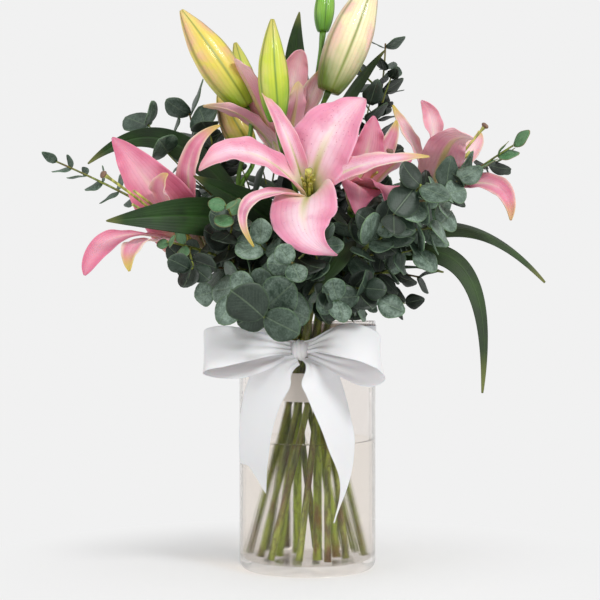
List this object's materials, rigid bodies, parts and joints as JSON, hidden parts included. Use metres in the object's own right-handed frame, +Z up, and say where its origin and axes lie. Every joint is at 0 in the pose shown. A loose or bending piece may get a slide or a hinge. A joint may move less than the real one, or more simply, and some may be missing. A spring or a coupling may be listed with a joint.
{
  "type": "lilies in a vase",
  "caption": "Hand-tied pink lilies and lily buds with round-leaved eucalyptus, in a clear glass cylinder vase of water tied with a plain white ribbon bow.",
  "frame": {"origin": "middle of the underside of the vase", "axes": "+Z up along the vase's axis, -Y towards the front with the bow"},
  "size_m": [0.4339, 0.2777, 0.5284],
  "materials": {
    "clear_glass": "clear, smooth and glossy",
    "water": "clear still water",
    "white_paper": "matt white",
    "white_satin": "soft white satin, a little translucent",
    "pale_green": "smooth, pale yellow-green",
    "pink_petal": "satin pink with a pale yellow-green heart, veins and a few darker spots",
    "bud_green": "smooth cream to lime green, with green ribs and a pink blush",
    "lily_green": "glossy dark green leaves on smooth mid-green stems",
    "eucalyptus_green": "matt grey-green leaves with a pale bloom, on thin brown stems"
  },
  "bodies": {
    "root": {"bow_knot": "white_satin", "bow_loop_left": "white_satin", "bow_loop_right": "white_satin", "bud_behind_left": "bud_green", "bud_low_left": "bud_green", "bud_middle": "bud_green", "bud_top_small": "bud_green", "bud_upper_left": "bud_green", "bud_upper_right": "bud_green", "eucalyptus_back_left": "eucalyptus_green", "eucalyptus_back_right": "eucalyptus_green", "eucalyptus_far_left": "eucalyptus_green", "eucalyptus_far_right": "eucalyptus_green", "eucalyptus_low_front": "eucalyptus_green", "eucalyptus_low_left": "eucalyptus_green", "eucalyptus_low_right": "eucalyptus_green", "eucalyptus_lower_right": "eucalyptus_green", "eucalyptus_mid_left": "eucalyptus_green", "eucalyptus_mid_right": "eucalyptus_green", "eucalyptus_upper_left": "eucalyptus_green", "eucalyptus_upper_right": "eucalyptus_green", "glass_vase": "clear_glass", "lily_front_pistil": "pale_green", "lily_front_tepal_bottom": "pink_petal", "lily_front_tepal_left": "pink_petal", "lily_front_tepal_lower_left": "pink_petal", "lily_front_tepal_right": "pink_petal", "lily_front_tepal_top": "pink_petal", "lily_front_tepal_upper_left": "pink_petal", "lily_left_pistil": "pale_green", "lily_left_tepal_back": "pink_petal", "lily_left_tepal_bottom": "pink_petal", "lily_left_tepal_inner": "pink_petal", "lily_left_tepal_lower_left": "pink_petal", "lily_left_tepal_top": "pink_petal", "lily_left_tepal_upper_right": "pink_petal", "lily_middle_corolla": "pink_petal", "lily_middle_pistil": "pale_green", "lily_right_pistil": "pale_green", "lily_right_tepal_back": "pink_petal", "lily_right_tepal_front": "pink_petal", "lily_right_tepal_lower_right": "pink_petal", "lily_right_tepal_right": "pink_petal", "lily_right_tepal_top": "pink_petal", "lily_right_tepal_upper_left": "pink_petal", "lily_stem_back": "lily_green", "lily_stem_front": "lily_green", "lily_stem_left": "lily_green", "lily_stem_right": "lily_green", "lily_upper_corolla": "pink_petal", "lily_upper_pistil": "pale_green", "ribbon_band": "white_satin", "ribbon_tail_left": "white_satin", "ribbon_tail_right": "white_satin", "stem_sleeve": "white_paper", "water": "water"}
  },
  "joints": []
}
